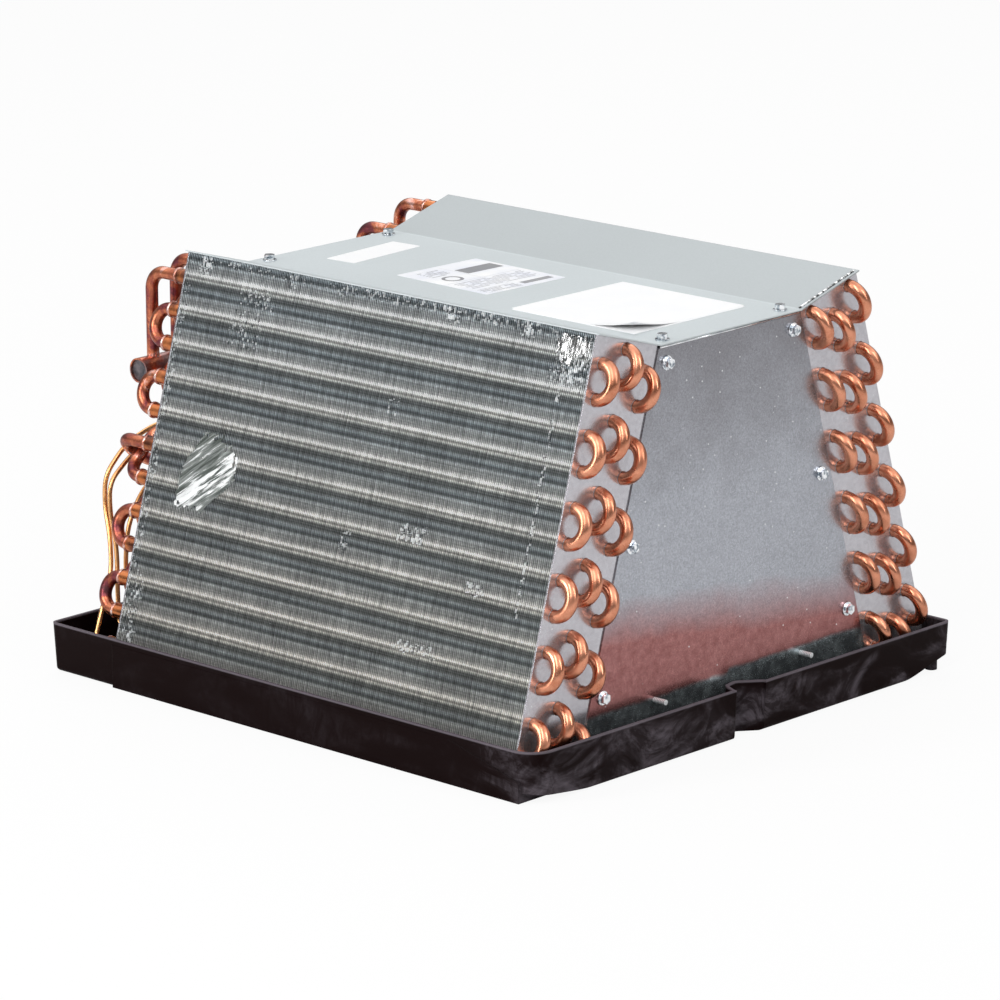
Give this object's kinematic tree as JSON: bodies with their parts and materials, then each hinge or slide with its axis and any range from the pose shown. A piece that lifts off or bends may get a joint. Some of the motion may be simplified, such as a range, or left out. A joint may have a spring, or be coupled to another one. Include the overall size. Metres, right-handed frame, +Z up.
{
  "type": "a-coil evaporator",
  "caption": "Finned copper-tube evaporator coil: slabs leaning together as an A, joined by end and top plates over a black drain pan, with suction header and liquid distributor.",
  "frame": {"origin": "centre of the bounding box, on the underside of the drain pan", "axes": "+X along the tubes from the piping end to the hairpin end, +Y from the front slab to the rear slab, +Z up"},
  "size_m": [0.5274, 0.4586, 0.3168],
  "materials": {
    "fins": "bare rolled fin stock, slightly crumpled",
    "copper": "bright drawn copper, lightly tarnished",
    "copper_bends": "copper darkened by brazing heat",
    "copper_header": "dark brown heat-tinted copper",
    "copper_feed": "light drawn copper",
    "brass": "turned brass",
    "galvanised": "galvanised sheet with a soft grey bloom",
    "zinc": "zinc plated",
    "label_film": "white film",
    "paper": "white paper",
    "pan_plastic": "black moulded plastic, scuffed"
  },
  "bodies": {
    "root": {"blank_label": "label_film", "data_label": "label_film", "distributor": "brass", "drain_pan": "pan_plastic", "drain_ports": "pan_plastic", "front_feed_noses": "copper_feed", "front_fin_pack": "fins", "front_inner_capillary": "copper_feed", "front_inner_hairpins": "copper", "front_left_tube_sheet": "galvanised", "front_middle_capillary": "copper_feed", "front_middle_hairpins": "copper", "front_outer_capillary": "copper_feed", "front_outer_hairpins": "copper", "front_proud_crossover": "copper_bends", "front_return_bends": "copper_bends", "front_right_tube_sheet": "galvanised", "front_suction_elbows": "copper_bends", "front_wide_crossover": "copper_bends", "header_caps": "copper_header", "instruction_sheet": "paper", "left_delta_plate": "galvanised", "left_delta_screws": "zinc", "left_pan_screws": "zinc", "liquid_line": "copper_feed", "rear_feed_noses": "copper_feed", "rear_fin_pack": "fins", "rear_inner_capillary": "copper_feed", "rear_inner_hairpins": "copper", "rear_left_tube_sheet": "galvanised", "rear_middle_capillary": "copper_feed", "rear_middle_hairpins": "copper", "rear_outer_capillary": "copper_feed", "rear_outer_hairpins": "copper", "rear_proud_crossover": "copper_bends", "rear_return_bends": "copper_bends", "rear_right_tube_sheet": "galvanised", "rear_suction_elbows": "copper_bends", "rear_wide_crossover": "copper_bends", "right_delta_plate": "galvanised", "right_delta_screws": "zinc", "right_pan_screws": "zinc", "suction_header": "copper_header", "suction_stub": "copper_header", "top_plate": "galvanised", "top_plate_screws": "zinc"}
  },
  "joints": []
}
